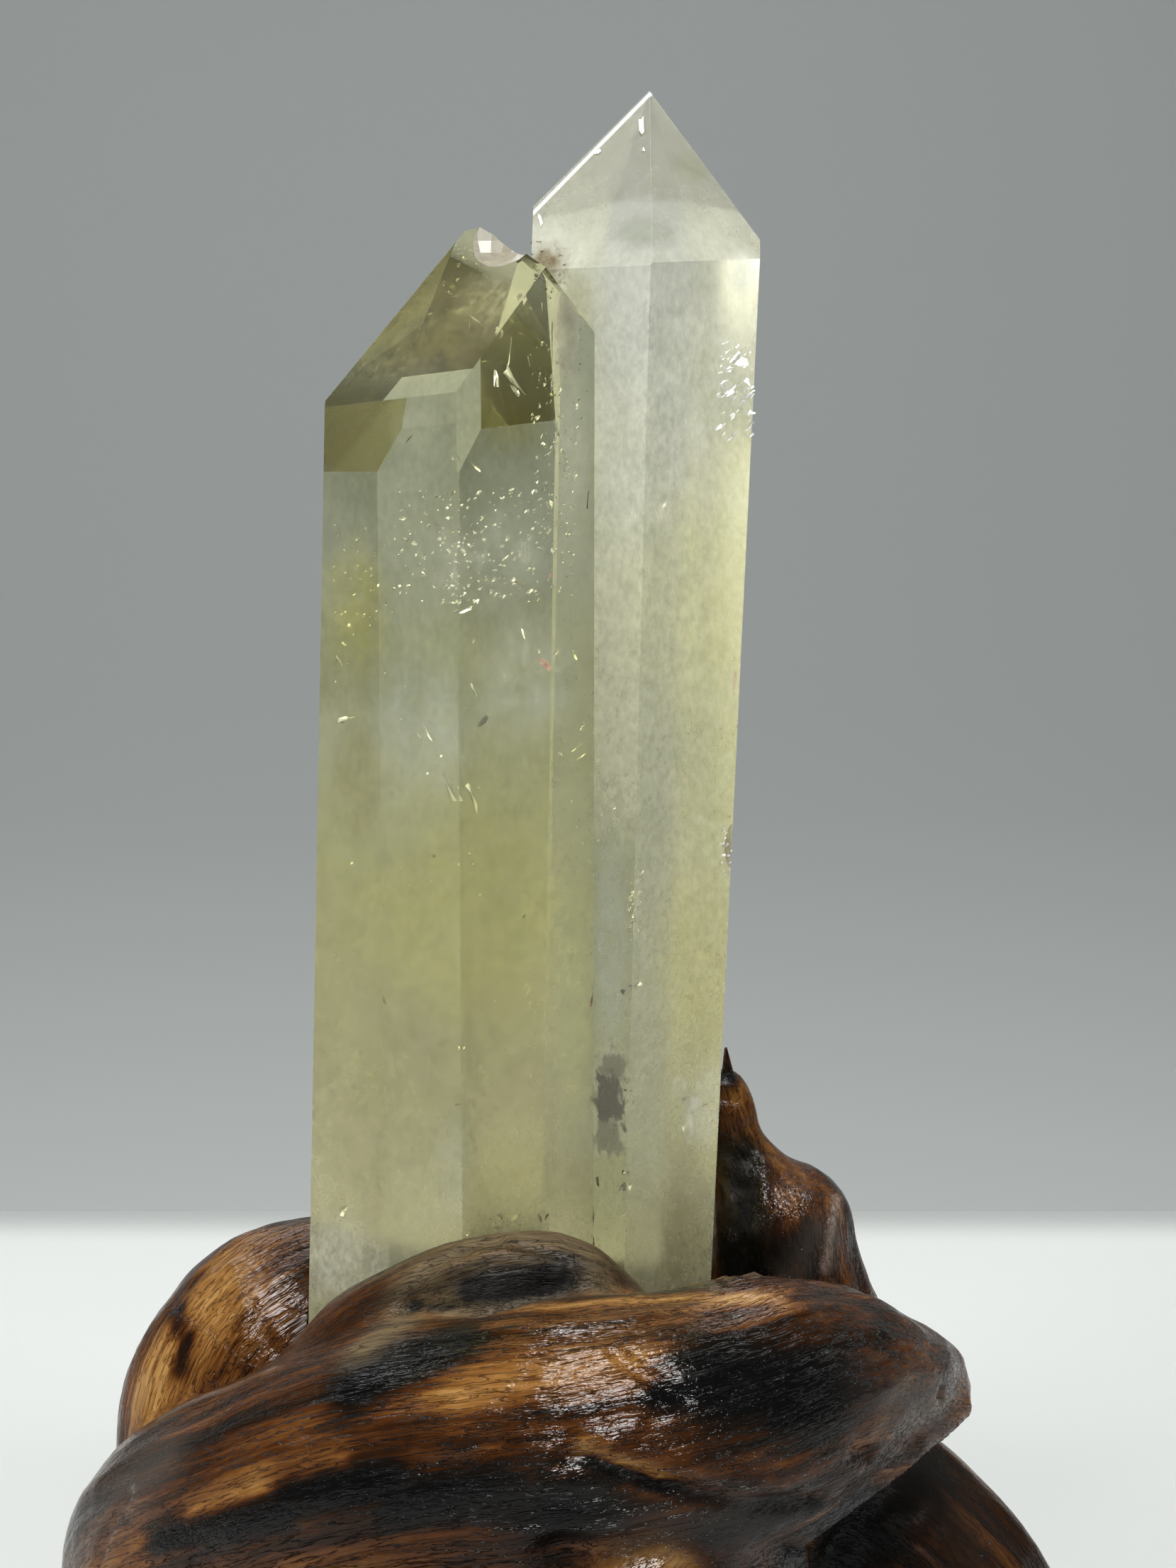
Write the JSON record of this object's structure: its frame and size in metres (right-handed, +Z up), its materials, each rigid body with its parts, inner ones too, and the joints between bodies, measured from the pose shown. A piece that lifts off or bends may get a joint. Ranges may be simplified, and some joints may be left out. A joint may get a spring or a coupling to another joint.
{
  "type": "citrine double point tower on root wood stand",
  "caption": "Polished citrine with two grown-together points, standing loose in the socket of a lacquered, flat-bottomed root wood stand.",
  "frame": {"origin": "on the flat underside of the stand, below the front of the stone where its two points meet", "axes": "+Z up along the stone's length, front faces -Y, the taller point stands to +X"},
  "size_m": [0.1263, 0.1055, 0.1896],
  "materials": {
    "citrine": "polished, clear to cloudy pale yellow quartz",
    "root_wood": "dark red-brown root wood under glossy clear lacquer"
  },
  "bodies": {
    "root": {"citrine_twin_crystal": "citrine", "root_stand_body": "root_wood", "root_stand_left_root": "root_wood", "root_stand_right_prong": "root_wood", "root_stand_right_foot": "root_wood"}
  },
  "joints": []
}
